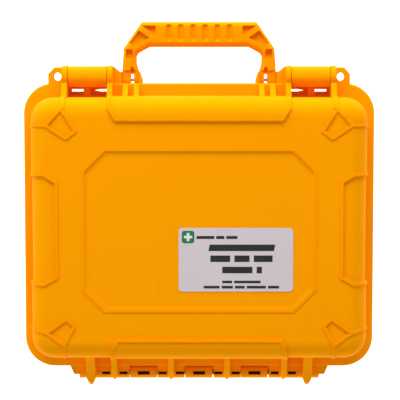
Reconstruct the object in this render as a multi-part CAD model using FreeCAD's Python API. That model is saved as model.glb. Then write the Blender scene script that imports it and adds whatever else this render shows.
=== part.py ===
import FreeCAD, Part
import math
import os

V = FreeCAD.Vector

# A hard waterproof first aid case lying on its base, in millimetres. The origin is the middle of the
# underside. Z is up, -Y is the latch and handle side, +Y is the hinge side.

# Case shells
FLANGE_X = 270.0
FLANGE_Y = 220.0
FLANGE_R = 23.0
FLANGE_T = 5.0
BODY_X = 255.0
BODY_Y = 199.0
BODY_R = 17.0
DRAFT = 3.0
WALL = 3.2
CASE_H = 124.0
PARTING_Z = 84.0
RIM_GAP = 0.4
LID_EDGE_R = 14.0
BASE_EDGE_R = 6.0
FOOT_RISE = 1.5
STEP = 1.0
CLEAR = 0.3
FIT = 0.06

# Seal
SEAL_INSET = 4.2
GROOVE_W = 3.6
GROOVE_D = 3.0
GASKET_W = 3.2
GASKET_T = 1.2
TONGUE_W = 2.0
RIM_INSET = 8.5

# Latches
LATCH_X = 85.3
LATCH_W = 29.4
LATCH_R = 7.9
LATCH_Y = -115.1
LATCH_Z = 94.0
BAY_IN = 70.2
BAY_OUT = 100.4
EAR_IN = 65.9
EAR_OUT = 104.8
EAR_R = 8.6
HOOK_R = 16.0
HOOK_T = 5.0
PIN_R = 1.6
LEVER_LOW = 60.0
LEVER_T = 4.5
POST_X = 86.2
POST_W = 5.4
SLIT_Y = (-105.4, -103.6)

# Padlock tabs
TAB_X = 109.0
TAB_Y = -115.0
TAB_HOLE_R = 3.25
TAB_OUT_X = 116.0
TAB_OUT_Y = -122.2

# Handle
PIVOT_Y = -112.4
PIVOT_Z = 72.0
HANDLE_T = 16.0
FORK_R = 6.2
FORK_IN = 46.8
FORK_OUT = 59.6
FORK_GAP_IN = 50.4
FORK_GAP_OUT = 53.0
LUG_T = 2.6
GRIP_OUT_Y = -157.2
GRIP_IN_Y = -137.8
HANDLE_PIN_R = 1.1
GROOVE_PITCH = 9.4
GROOVE_COUNT = 6
GRIP_ROUND = 4.5
GRIP_GROOVE_R = 2.5
GRIP_GROOVE_LIFT = 0.2
GRIP_GROOVE_LEN = 8.8

# Hinge
HINGE_Y = 115.7
KNUCKLE_R = 4.5
HINGE_PIN_R = 1.8
KNUCKLE_ENDS = (10.9, 32.5, 54.0, 93.5)
KNUCKLE_GAP = 0.5
RIB_T = 4.4
RIB_Y = 120.6
FOOT_X = 84.0
FOOT_T = 7.0
FOOT_Y = 124.6

# Lid face
PANEL_X = 87.7
PANEL_Y = 61.2
PANEL_CY = 0.6
PANEL_CORNER = 16.3
PANEL_SLOPE = 4.0
PANEL_D = 0.8
KITE_D = 0.5
SCOOP_D = 0.8
BEAD_LAYERS = ((3.0, 0.45), (1.7, 0.85))
RING_LAYERS = ((2.6, 0.3), (1.4, 0.55))
RUN_W = 3.8
SIDE = BODY_X / 2 + 4
SCOOP = [(SIDE, -41.7), (117.2, -41.7), (107.6, -36.2), (107.6, 36.2), (117.2, 41.7), (SIDE, 41.7)]
LABEL_X = 86.6
LABEL_Y = 48.4
LABEL_CX = -27.8
LABEL_CY = 22.5
LABEL_T = 0.4

# Pressure vent in the front wall
VENT_Z = 40.0
VENT_R = 5.2
VENT_SEAL_R = 5.4
VENT_BOSS_R = 9.5
VENT_NUT_R = 8.5
VENT_FACE_Y = -98.8
VENT_NUT_Y = -93.6

# Supplies
PACK_X = 112.0
PACK_Y = 87.0
REAR_Y = 15.5
UNIT_BOX = (32.0, 100.0, 57.0)
SIDE_W = 57.0
BOTTLE_L = 84.0
BOTTLE_W = 55.0
BOTTLE_H = 32.0
ROLL_R = 19.5
ROLL_H = 52.0
TAPE_R = 19.5
TAPE_CORE_R = 11.0
TAPE_H = 25.4
PACKET = (104.0, 70.0)
BOOKLET = (110.0, 80.0, 4.0)
SCISSOR_BLADE = 52.0
SCISSOR_SHANK = 38.0
SCISSOR_T = 1.6
SCISSOR_RIVET_R = 2.0
SCISSOR_X = 6.0
SCISSOR_Y = 48.0

LID_LOW = PARTING_Z + RIM_GAP / 2
BASE_TOP = PARTING_Z - RIM_GAP / 2
FACE_Z = CASE_H - STEP
FLANGE_FRONT = -FLANGE_Y / 2
BODY_FRONT = -BODY_Y / 2
FLOOR_Z = WALL + FOOT_RISE


# Basic shapes

def rounded_wire(width, depth, radius, z, cx=0.0, cy=0.0):
    a = width / 2
    b = depth / 2
    k = radius * (1 - math.sqrt(0.5))
    corners = ((1, 1), (-1, 1), (-1, -1), (1, -1))
    edges = []
    last = None
    first = None
    for sx, sy in corners:
        along_y = V(cx + sx * a, cy + sy * (b - radius), z)
        along_x = V(cx + sx * (a - radius), cy + sy * b, z)
        middle = V(cx + sx * (a - k), cy + sy * (b - k), z)
        start, end = (along_y, along_x) if sx * sy > 0 else (along_x, along_y)
        if last is not None:
            edges.append(Part.makeLine(last, start))
        else:
            first = start
        edges.append(Part.Arc(start, middle, end).toShape())
        last = end
    edges.append(Part.makeLine(last, first))
    return Part.Wire(edges)


def plate(width, depth, radius, low, high, cx=0.0, cy=0.0):
    face = Part.Face(rounded_wire(width, depth, radius, low, cx, cy))
    return face.extrude(V(0, 0, high - low))


def frame(width, depth, radius, band, low, high):
    outer = plate(width, depth, radius, low, high)
    inner = plate(width - 2 * band, depth - 2 * band, radius - band, low - 1, high + 1)
    return outer.cut(inner)


def drafted(width0, depth0, radius0, low, width1, depth1, radius1, high):
    bottom = rounded_wire(width0, depth0, radius0, low)
    top = rounded_wire(width1, depth1, radius1, high)
    return Part.makeLoft([bottom, top], True, True)


def box(x0, x1, y0, y1, z0, z1):
    return Part.makeBox(x1 - x0, y1 - y0, z1 - z0, V(x0, y0, z0))


def rod(radius, y, z, x0, x1):
    return Part.makeCylinder(radius, x1 - x0, V(x0, y, z), V(1, 0, 0))


def post(radius, x, y, z0, z1):
    return Part.makeCylinder(radius, z1 - z0, V(x, y, z0), V(0, 0, 1))


def slab(points, low, high):
    wire = Part.makePolygon([V(x, y, low) for x, y in points + points[:1]])
    return Part.Face(wire).extrude(V(0, 0, high - low))


def fin(points, x0, x1):
    wire = Part.makePolygon([V(x0, y, z) for y, z in points + points[:1]])
    return Part.Face(wire).extrude(V(x1 - x0, 0, 0))


def both_sides(shapes):
    mirrored = [shape.mirror(V(0, 0, 0), V(1, 0, 0)) for shape in shapes]
    return shapes + mirrored


def join(shape, others):
    for other in others:
        shape = shape.fuse(other)
    return shape.removeSplitter()


def carve(shape, others):
    for other in others:
        shape = shape.cut(other)
    return shape


def strip(start, end, width, low, high):
    """A bar with round ends, seen from above, between two points."""
    dx = end[0] - start[0]
    dy = end[1] - start[1]
    length = math.hypot(dx, dy)
    nx = -dy / length * width / 2
    ny = dx / length * width / 2
    corners = [
        (start[0] + nx, start[1] + ny),
        (start[0] - nx, start[1] - ny),
        (end[0] - nx, end[1] - ny),
        (end[0] + nx, end[1] + ny),
    ]
    ends = [post(width / 2, x, y, low, high) for x, y in (start, end)]
    return slab(corners, low, high).multiFuse(ends)


def soften(shape, radius):
    return shape.makeFillet(radius, shape.Edges)


def edges_where(shape, test):
    return [edge for edge in shape.Edges if test(edge.BoundBox)]


def save(shape, name):
    shape.exportStep("parts/" + name + ".step")


# Lid

def lid_body(grow, top):
    """The lid's outside shape, made bigger by grow all round, with its big rounded top edge."""
    shape = plate(BODY_X + 2 * grow, BODY_Y + 2 * grow, BODY_R + grow, LID_LOW, top + grow)
    rim = edges_where(shape, lambda b: b.ZMin > top + grow - 0.01)
    return shape.makeFillet(LID_EDGE_R + grow, rim)


def octagon(half_x, half_y, corner, cy):
    return [
        (half_x, cy - half_y + corner),
        (half_x, cy + half_y - corner),
        (half_x - corner, cy + half_y),
        (-half_x + corner, cy + half_y),
        (-half_x, cy + half_y - corner),
        (-half_x, cy - half_y + corner),
        (-half_x + corner, cy - half_y),
        (half_x - corner, cy - half_y),
    ]


def polygon_loft(lower, low, upper, high):
    wires = []
    for points, z in ((lower, low), (upper, high)):
        wires.append(Part.makePolygon([V(x, y, z) for x, y in points + points[:1]]))
    return Part.makeLoft(wires, True, True)


def plateau_outlines():
    """Corners of the right-hand half of each raised area: between the latches, and by the hinge."""
    edge = BODY_Y / 2 + 2 * STEP
    front = [(67.8, -edge), (67.8, -92.2), (62.4, -83.4), (0.0, -83.4)]
    rear = [(66.2, edge), (66.2, 93.4), (62.0, 84.4), (0.0, 84.4)]
    return front, rear


def kites():
    """The four-sided pockets near the lid's corners: one by the latch, one by the hinge."""
    front = [(103.8, -91.8), (115.4, -78.9), (100.2, -69.0), (93.0, -74.6)]
    rear = [(115.6, 78.6), (100.4, 67.7), (94.5, 73.1), (102.4, 88.2)]
    return front, rear


def face_lines():
    """Bead lines round the kites and the scoops, and from the kites out to the lid's sides."""
    front, rear = kites()
    lines = list(zip(SCOOP, SCOOP[1:]))
    for kite in (front, rear):
        lines += list(zip(kite, kite[1:] + kite[:1]))
    lines.append((front[1], (SIDE, -78.6)))
    lines.append((rear[0], (SIDE, 75.2)))
    lines.append((rear[3], (102.8, BODY_Y / 2 + 2 * STEP)))
    return lines


def raised_lines(lines, lift, sizes):
    """Beads that follow the lid's surface, each a wide low layer under a narrow higher one."""
    low = LID_LOW + FLANGE_T + 2
    layers = []
    for width, height in sizes:
        bars = [strip(start, end, width, low, CASE_H + 3) for start, end in lines]
        merged = bars[0]
        for bar in bars[1:]:
            merged = merged.fuse(bar)
        layers.append(merged.common(lid_body(lift + height, FACE_Z)))
    return layers


def raised_areas():
    """The two plateaus, and the ribs that carry the outer latch ears on to the kites."""
    skin = lid_body(STEP, FACE_Z)
    low = LID_LOW + FLANGE_T
    parts = []
    for half in plateau_outlines():
        outline = half[:-1] + [(-x, y) for x, y in reversed(half[:-1])]
        parts.append(slab(outline, low, CASE_H + 1).common(skin))
    x = kites()[0][0][0] - 0.8
    run = box(x - RUN_W / 2, x + RUN_W / 2, BODY_FRONT - 2 * STEP, kites()[0][0][1], low, CASE_H + 1)
    return parts + both_sides([run.common(skin)])


def lid_outside():
    outer = lid_body(0.0, FACE_Z)
    low = LID_LOW + FLANGE_T + 2
    pocket_floor = lid_body(-KITE_D, FACE_Z)
    pockets = [slab(kite, low, CASE_H).cut(pocket_floor) for kite in kites()]
    scoop = slab(SCOOP, low, CASE_H).cut(lid_body(-SCOOP_D, FACE_Z))
    outer = carve(outer, both_sides(pockets + [scoop]))
    outer = join(outer, raised_areas())
    plateau_lines = []
    for half in plateau_outlines():
        plateau_lines += list(zip(half, half[1:]))
    beads = raised_lines(face_lines(), 0.0, BEAD_LAYERS) + raised_lines(plateau_lines, STEP, BEAD_LAYERS)
    outer = join(outer, both_sides(beads))

    panel_out = octagon(PANEL_X, PANEL_Y, PANEL_CORNER, PANEL_CY)
    inset = PANEL_SLOPE
    panel_in = octagon(PANEL_X - inset, PANEL_Y - inset, PANEL_CORNER - inset * 0.586, PANEL_CY)
    outer = outer.cut(polygon_loft(panel_in, FACE_Z - PANEL_D, panel_out, FACE_Z + 0.01))
    ring = list(zip(panel_out, panel_out[1:] + panel_out[:1]))
    return join(outer, raised_lines(ring, 0.0, RING_LAYERS))


def lid_shell():
    flange = plate(FLANGE_X, FLANGE_Y, FLANGE_R, LID_LOW, LID_LOW + FLANGE_T)
    upper = edges_where(flange, lambda b: b.ZMin > LID_LOW + FLANGE_T - 0.01)
    flange = flange.makeFillet(1.5, upper)
    front_parts = both_sides(lid_front_parts())
    lid = join(lid_outside(), [flange] + front_parts + lid_rear_parts())

    roof = FACE_Z - PANEL_D - WALL
    hollow = plate(BODY_X - 2 * WALL, BODY_Y - 2 * WALL, BODY_R - WALL, LID_LOW + FLANGE_T, roof)
    hollow = hollow.makeFillet(LID_EDGE_R - WALL, edges_where(hollow, lambda b: b.ZMin > roof - 0.01))
    mouth = rim_mouth(LID_LOW - 1, LID_LOW + FLANGE_T + 1)
    groove = seal_ring(GROOVE_W, LID_LOW - 1, LID_LOW + GROOVE_D)
    cuts = [hollow, mouth, groove]
    cuts += both_sides(bay_cuts())
    cuts += both_sides([
        rod(PIN_R, LATCH_Y, LATCH_Z, EAR_IN - 1, EAR_OUT + 1),
        post(TAB_HOLE_R, TAB_X, TAB_Y, LID_LOW - 1, LID_LOW + FLANGE_T + 1),
    ])
    cuts.append(rod(HINGE_PIN_R + FIT, HINGE_Y, PARTING_Z, -120, 120))
    lid = carve(lid, cuts)
    return carve(lid, knuckle_clearances(False) + knuckle_windows(False))


def rim_mouth(low, high):
    return plate(BODY_X - 2 * RIM_INSET, BODY_Y - 2 * RIM_INSET, BODY_R - RIM_INSET, low, high)


def seal_ring(band, low, high):
    grow = band - 2 * SEAL_INSET
    return frame(BODY_X + grow, BODY_Y + grow, BODY_R + grow / 2, band, low, high)


def bay_cuts():
    """The open latch bay through the lid's flange, leaving a centre post."""
    low = LID_LOW - 1
    high = LID_LOW + FLANGE_T + 1
    back = BODY_FRONT - 1.2
    parts = [box(BAY_IN, BAY_OUT, -130.0, -107.0, low, high)]
    for x0, x1 in ((BAY_IN, POST_X - POST_W / 2), (POST_X + POST_W / 2, BAY_OUT)):
        parts.append(box(x0, x1, -107.1, back, low, high))
    return parts


def lid_ear(x0, x1):
    """Side plate of a latch bay: a round nose about the latch pin, running back to the lid's wall."""
    low = LID_LOW
    back = BODY_FRONT + 2
    nose = math.radians(58)
    top = V(x0, LATCH_Y + EAR_R * math.cos(nose), LATCH_Z + EAR_R * math.sin(nose))
    front = V(x0, LATCH_Y - EAR_R, LATCH_Z)
    middle_angle = math.radians(119)
    middle = V(x0, LATCH_Y + EAR_R * math.cos(middle_angle), LATCH_Z + EAR_R * math.sin(middle_angle))
    corners = [front, V(x0, LATCH_Y - EAR_R + 1.5, low), V(x0, back, low), V(x0, back, 112.0),
               V(x0, BODY_FRONT - 0.5, 108.5), top]
    edges = [Part.Arc(top, middle, front).toShape()]
    for start, end in zip(corners, corners[1:]):
        edges.append(Part.makeLine(start, end))
    face = Part.Face(Part.Wire(edges))
    return soften(face.extrude(V(x1 - x0, 0, 0)), 0.7)


def lid_front_parts():
    """Ears, padlock tab and handle-side ribs for the right-hand half of the lid's front."""
    low = LID_LOW
    parts = [lid_ear(EAR_IN, BAY_IN), lid_ear(BAY_OUT, EAR_OUT)]
    parts.append(padlock_tab(low, low + FLANGE_T))
    rib = [
        (BODY_FRONT + 2, low), (BODY_FRONT + 2, 104.0), (BODY_FRONT, 103.0),
        (FLANGE_FRONT + 2.0, low + FLANGE_T + 3), (FLANGE_FRONT + 0.2, low + FLANGE_T),
        (FLANGE_FRONT + 0.2, low),
    ]
    for x0, x1 in ((45.8, 50.2), (54.2, 58.8)):
        parts.append(soften(fin(rib, x0, x1), 0.6))
    return parts


def padlock_tab(low, high):
    inner = EAR_OUT - 1
    points = [
        (inner, -100.0), (inner, TAB_OUT_Y), (TAB_OUT_X - 4.6, TAB_OUT_Y),
        (TAB_OUT_X, TAB_OUT_Y + 5.0), (TAB_OUT_X, -104.0),
    ]
    return soften(slab(points, low, high), 0.7)


def rib_outline(centre, thick, tip):
    """A rib's outline from above: straight sides, then a rounded point at the tip."""
    half = thick / 2
    back = BODY_Y / 2 - DRAFT - 2
    shoulder = tip - thick * 0.75
    return [
        (centre - half, back), (centre - half, shoulder), (centre - half * 0.35, tip),
        (centre + half * 0.35, tip), (centre + half, shoulder), (centre + half, back),
    ]


def lid_rear_parts():
    low = LID_LOW
    back = BODY_Y / 2
    parts = []
    spans = [(KNUCKLE_ENDS[0], KNUCKLE_ENDS[1]), (KNUCKLE_ENDS[2], KNUCKLE_ENDS[3])]
    for x0, x1 in spans:
        parts.append(rod(KNUCKLE_R, HINGE_Y, PARTING_Z, x0 + KNUCKLE_GAP, x1))
        parts.append(box(x0 + KNUCKLE_GAP, x1, back, HINGE_Y, low, low + KNUCKLE_R - 0.6))
    corner = [(90.0, 100.0), (103.0, 100.0), (100.2, 110.8), (97.6, 116.6), (90.0, 116.6)]
    parts.append(slab(corner, low, low + KNUCKLE_R - 0.6))
    for centre, thick, reach in ((21.7, RIB_T, RIB_Y), (65.8, RIB_T, RIB_Y), (FOOT_X, FOOT_T, FOOT_Y)):
        profile = [
            (back - 2, low), (back - 2, 108.0), (back, 107.0), (HINGE_Y - 3, 97.0),
            (reach - 2.0, 91.0), (reach, 88.5), (reach, low),
        ]
        rib = fin(profile, centre - thick, centre + thick)
        rib = rib.common(slab(rib_outline(centre, thick, reach), low, CASE_H))
        parts.append(soften(rib, 0.5))
    return both_sides(parts)


def knuckle_clearances(for_base):
    """Room round the other half's knuckles, each wider than the knuckle by the working clearance."""
    e = KNUCKLE_ENDS
    if for_base:
        spans = [(e[0], e[1]), (-e[1], -e[0]), (e[2], e[3] + 30), (-e[3] - 30, -e[2])]
    else:
        spans = [(-e[0], e[0]), (e[1], e[2]), (-e[2], -e[1])]
    return [rod(KNUCKLE_R + CLEAR, HINGE_Y, PARTING_Z, x0, x1 + CLEAR) for x0, x1 in spans]


def knuckle_windows(for_base):
    """Core-outs in the knuckles, open at the top, that reach the hinge pin."""
    top = PARTING_Z + 2 * KNUCKLE_R
    if for_base:
        return [
            box(x - 4.7, x + 4.7, HINGE_Y - 1.4, HINGE_Y + 1.6, PARTING_Z, top)
            for x in (-43.25, 0.0, 43.25)
        ]
    parts = []
    for rib in (21.7, 65.8):
        for side in (-1, 1):
            near = rib + side * 3.6
            far = rib + side * 9.9
            parts.append(box(min(near, far), max(near, far), HINGE_Y - 1.1, HINGE_Y + 1.3, PARTING_Z, top))
    return both_sides(parts)


# Base

def base_shell():
    shrink = 2 * DRAFT
    outer = drafted(
        BODY_X - shrink, BODY_Y - shrink, BODY_R - 1, 0.0,
        BODY_X, BODY_Y, BODY_R, BASE_TOP,
    )
    outer = outer.makeFillet(BASE_EDGE_R, edges_where(outer, lambda b: b.ZMax < 0.01))
    side = [(-36.0, 22.0), (-36.0, 70.0), (36.0, 70.0), (36.0, 22.0)]
    core = drafted(
        BODY_X - shrink - 3, BODY_Y - shrink - 3, BODY_R - 2, -1.0,
        BODY_X - 3, BODY_Y - 3, BODY_R - 1, BASE_TOP + 1,
    )
    outer = carve(outer, [fin(side, 100, 140).cut(core), fin(side, -140, -100).cut(core)])
    sole = slab(octagon(PANEL_X, PANEL_Y, PANEL_CORNER, 0.0), -1.0, 1.0)
    sole_in = slab(octagon(PANEL_X - 3, PANEL_Y - 3, PANEL_CORNER - 3 * 0.586, 0.0), -2.0, 2.0)
    outer = outer.cut(sole.cut(sole_in))

    flange = plate(FLANGE_X, FLANGE_Y, FLANGE_R, BASE_TOP - FLANGE_T, BASE_TOP)
    lower = edges_where(flange, lambda b: b.ZMax < BASE_TOP - FLANGE_T + 0.01)
    flange = flange.makeFillet(1.5, lower)
    parts = [flange] + both_sides(base_front_parts()) + base_rear_parts()
    tongue = seal_ring(TONGUE_W, BASE_TOP - 2, LID_LOW + GROOVE_D - GASKET_T - CLEAR)
    base = join(outer, parts + [tongue, vent_disc(VENT_BOSS_R, VENT_FACE_Y, BODY_FRONT + 4)])

    inner_x = BODY_X - 2 * WALL
    inner_y = BODY_Y - 2 * WALL
    radius = BODY_R - WALL
    hollow = drafted(
        inner_x - shrink, inner_y - shrink, radius - 1, FLOOR_Z,
        inner_x, inner_y, radius, BASE_TOP - FLANGE_T,
    )
    hollow = hollow.makeFillet(5.0, edges_where(hollow, lambda b: b.ZMax < FLOOR_Z + 0.01))
    mouth = rim_mouth(BASE_TOP - FLANGE_T - 1, BASE_TOP + 2 * FLANGE_T)
    inside_boss = vent_disc(VENT_BOSS_R, BODY_FRONT, VENT_NUT_Y)
    cuts = [hollow.cut(inside_boss), mouth]
    cuts += both_sides(bay_slits())
    cuts += both_sides([
        post(TAB_HOLE_R, TAB_X, TAB_Y, 60, 90),
        rod(HANDLE_PIN_R, PIVOT_Y, PIVOT_Z, FORK_IN - LUG_T - 1, EAR_IN - 1),
        box(FORK_IN - CLEAR, FORK_OUT + CLEAR, -125, PIVOT_Y + FORK_R + CLEAR, 50, BASE_TOP - FLANGE_T),
    ])
    cuts.append(rod(HINGE_PIN_R, HINGE_Y, PARTING_Z, -120, 120))
    cuts.append(vent_disc(VENT_R, VENT_FACE_Y - 1, -85.0))
    cuts.append(vent_disc(VENT_SEAL_R + 1.6, VENT_FACE_Y - 1, VENT_FACE_Y + 1.0))
    base = carve(base, cuts)
    return carve(base, knuckle_clearances(True) + knuckle_windows(True))


def bay_slits():
    """Narrow slits through the base's flange on each side of the post, the inner one pointed."""
    near, far = SLIT_Y
    start = POST_X + POST_W / 2
    stop = BAY_OUT - 2.0
    outer = [(start, near), (stop, near), (stop, far), (start, far)]
    start = BAY_IN + 1.0
    stop = POST_X - POST_W
    inner = [(start, near), (start + 5.0, near), (stop, (near + far) / 2), (start + 5.0, far), (start, far)]
    low = BASE_TOP - 2 * FLANGE_T
    return [slab(outline, low, BASE_TOP + 1) for outline in (outer, inner)]


def base_front_parts():
    """Ears, latch lip, padlock tab and handle lugs for the right-hand half of the base's front."""
    top = BASE_TOP
    ear_front = LATCH_Y - EAR_R + 1.0
    ear = [
        (BODY_FRONT + 5, top), (BODY_FRONT + 5, 44.0), (BODY_FRONT - 3, 52.0),
        (LATCH_Y, 68.0), (ear_front, 74.0), (ear_front, top),
    ]
    parts = []
    for x0, x1 in ((EAR_IN, BAY_IN), (BAY_OUT, EAR_OUT)):
        parts.append(soften(fin(ear, x0, x1), 0.7))
    lip = box(BAY_IN - 1, BAY_OUT + 1, LATCH_Y + 0.9, -106.0, 74.0, top)
    parts.append(lip.common(rod(HOOK_R - CLEAR, LATCH_Y, LATCH_Z, BAY_IN - 1, BAY_OUT + 1)))
    parts.append(padlock_tab(top - FLANGE_T, top))
    web_x = FORK_OUT + CLEAR
    web = [(EAR_IN + 1, -100.0), (EAR_IN + 1, ear_front), (EAR_IN, ear_front), (web_x + 0.6, -118.2),
           (web_x, -118.2), (web_x, -100.0)]
    parts.append(slab(web, top - FLANGE_T, top))
    lug = [
        (BODY_FRONT + 5, top), (BODY_FRONT + 5, 54.0), (BODY_FRONT - 2, 58.0),
        (PIVOT_Y - 4.5, PIVOT_Z - 4.5), (PIVOT_Y - 6.4, PIVOT_Z), (PIVOT_Y - 6.4, top),
    ]
    inner = FORK_IN - CLEAR
    taper = [(inner, -90.0), (inner, -119.0), (inner - 0.6, -119.0), (inner - LUG_T, PIVOT_Y),
             (inner - LUG_T, -90.0)]
    parts.append(fin(lug, inner - LUG_T, inner).common(slab(taper, 40.0, top)))
    parts.append(fin(lug, web_x, web_x + LUG_T))
    return parts


def base_rear_parts():
    top = BASE_TOP
    back = BODY_Y / 2
    parts = []
    e = KNUCKLE_ENDS
    for x0, x1 in ((-e[0], e[0]), (e[1], e[2]), (-e[2], -e[1])):
        parts.append(rod(KNUCKLE_R, HINGE_Y, PARTING_Z, x0 + KNUCKLE_GAP, x1))
        parts.append(box(x0 + KNUCKLE_GAP, x1, back, HINGE_Y, top - KNUCKLE_R + 0.6, top))
    under = BASE_TOP - FLANGE_T
    gusset = [
        (back - 4, under), (back - 4, 56.0), (back - 1, 58.0), (HINGE_Y + 1.5, 71.0),
        (RIB_Y - 1.6, 75.0), (RIB_Y - 1.6, under),
    ]
    for x in e[:3]:
        for side in (-1, 1):
            parts.append(soften(fin(gusset, side * x - RIB_T / 2, side * x + RIB_T / 2), 0.5))
    foot = [
        (back - 6, 68.0), (back - 6, 8.0), (back - 3, 8.0), (FOOT_Y - 5, 20.0), (FOOT_Y, 25.0),
        (FOOT_Y, 60.0), (FOOT_Y - 5, 66.0), (back, 70.0),
    ]
    for x in (-FOOT_X, FOOT_X):
        pad = fin(foot, x - FOOT_T, x + FOOT_T)
        parts.append(soften(pad.common(slab(rib_outline(x, FOOT_T, FOOT_Y), 0.0, 80.0)), 0.6))
    return parts


# Moving parts

def latch_lever():
    """Draw latch: a barrel on the pin, a flat outer plate and a hook under the base's lip."""
    x0 = LATCH_X - LATCH_W / 2
    x1 = LATCH_X + LATCH_W / 2
    outer = LATCH_Y - LATCH_R
    inner = outer + LEVER_T
    arm = fin([
        (outer, LATCH_Z), (outer, LEVER_LOW + 1.5), (outer + 1.2, LEVER_LOW), (outer + 2.4, LEVER_LOW),
        (inner, LEVER_LOW + 7.0), (inner, LATCH_Z),
    ], x0, x1)
    ring = rod(HOOK_R + HOOK_T, LATCH_Y, LATCH_Z, x0 + 1.5, x1 - 1.5)
    ring = ring.cut(rod(HOOK_R, LATCH_Y, LATCH_Z, x0, x1))
    hook = ring.common(box(x0, x1, outer + 1, LATCH_Y + 4.4, LEVER_LOW, LATCH_Z - 12.0))
    sides = edges_where(arm, lambda b: b.XLength < 0.01 and b.ZMax < LATCH_Z - 1)
    arm = arm.makeFillet(0.5, sides)
    shape = join(rod(LATCH_R, LATCH_Y, LATCH_Z, x0, x1), [arm, hook])
    panel = box(x0 + 4, x1 - 4, outer - 1, outer + 0.9, LEVER_LOW + 5.0, LATCH_Z - 4.0)
    shape = shape.cut(soften(panel, 0.4))
    grips = [
        rod(1.0, outer + 1.0, LEVER_LOW + 8.0 + 3.4 * n, x0 + 6.0, x1 - 6.0)
        for n in range(4)
    ]
    shape = join(shape, grips)
    relief = rod(LATCH_R - 2.6, LATCH_Y, LATCH_Z, x0 + 7, x1 - 7)
    relief = relief.common(box(x0, x1, LATCH_Y, LATCH_Y + LATCH_R, LATCH_Z - LATCH_R, LATCH_Z))
    return carve(shape, [relief, rod(PIN_R + FIT, LATCH_Y, LATCH_Z, x0 - 1, x1 + 1)])


def handle():
    """Carrying handle reaching out level with the flange; it turns about its two pins."""
    half = [
        (0.0, GRIP_OUT_Y), (44.5, GRIP_OUT_Y), (58.4, -137.0), (59.3, -124.0), (FORK_OUT, -119.5),
        (FORK_OUT, PIVOT_Y), (FORK_IN, PIVOT_Y), (FORK_IN, -119.5), (48.4, -125.0), (48.6, -130.6),
        (46.8, -133.2), (38.2, GRIP_IN_Y), (0.0, GRIP_IN_Y),
    ]
    outline = half + [(-x, y) for x, y in reversed(half[1:-1])]
    low = PIVOT_Z - HANDLE_T / 2
    high = PIVOT_Z + HANDLE_T / 2
    shape = slab(outline, low, high)
    upright = edges_where(shape, lambda b: b.ZLength > HANDLE_T - 0.1 and b.YMax < -124.5)
    shape = shape.makeFillet(2.4, upright)
    grip_edges = edges_where(
        shape,
        lambda b: b.ZLength < 0.01 and b.YMin < GRIP_IN_Y + 8 and b.YMax < -130.0,
    )
    shape = shape.makeFillet(GRIP_ROUND, grip_edges)
    near = box(-70, 70, -120.0, -100.0, low - 1, PIVOT_Z - FORK_R)
    far = box(-70, 70, -120.0, -100.0, PIVOT_Z + FORK_R, high + 1)
    shape = carve(shape, [near, far])
    ends = both_sides([rod(FORK_R, PIVOT_Y, PIVOT_Z, FORK_IN, FORK_OUT)])
    shape = join(shape, ends)
    cuts = both_sides([
        box(FORK_GAP_IN, FORK_GAP_OUT, -116.9, -100.0, low - 1, high + 1),
        rod(HANDLE_PIN_R + FIT, PIVOT_Y, PIVOT_Z, FORK_IN - 1, FORK_OUT + 1),
    ])
    start_y = GRIP_OUT_Y + GRIP_GROOVE_R + 1.4
    for n in range(GROOVE_COUNT):
        x = (n - (GROOVE_COUNT - 1) / 2) * GROOVE_PITCH
        for z in (high + GRIP_GROOVE_LIFT, low - GRIP_GROOVE_LIFT):
            cuts.append(channel(V(x, start_y, z), GRIP_GROOVE_LEN))
    return carve(shape, cuts + both_sides(handle_pockets(low, high)))


def channel(start, length):
    """A round-bottomed groove along Y with rounded ends."""
    along = Part.makeCylinder(GRIP_GROOVE_R, length, start, V(0, 1, 0))
    ends = [Part.makeSphere(GRIP_GROOVE_R, start), Part.makeSphere(GRIP_GROOVE_R, start + V(0, length, 0))]
    return along.multiFuse(ends)


def handle_pockets(low, high):
    """Core-outs that leave ridges: two triangles at each corner, two small ones in each leg."""
    depth = 3.4
    outlines = [
        [(44.2, -154.4), (33.6, -154.4), (33.6, -147.0)],
        [(46.6, -150.8), (38.3, -145.0), (50.4, -139.2), (53.8, -141.0)],
        [(51.4, -136.2), (56.4, -136.2), (56.8, -129.6), (51.0, -129.6)],
        [(50.4, -122.4), (53.0, -122.4), (53.0, -116.4), (50.4, -116.4)],
    ]
    pockets = []
    for points in outlines:
        pockets.append(slab(points, high - depth, high + 1))
        pockets.append(slab(points, low - 1, low + depth))
    return pockets


# Fittings

def vent_disc(radius, y0, y1):
    return Part.makeCylinder(radius, y1 - y0, V(0, y0, VENT_Z), V(0, 1, 0))


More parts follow.
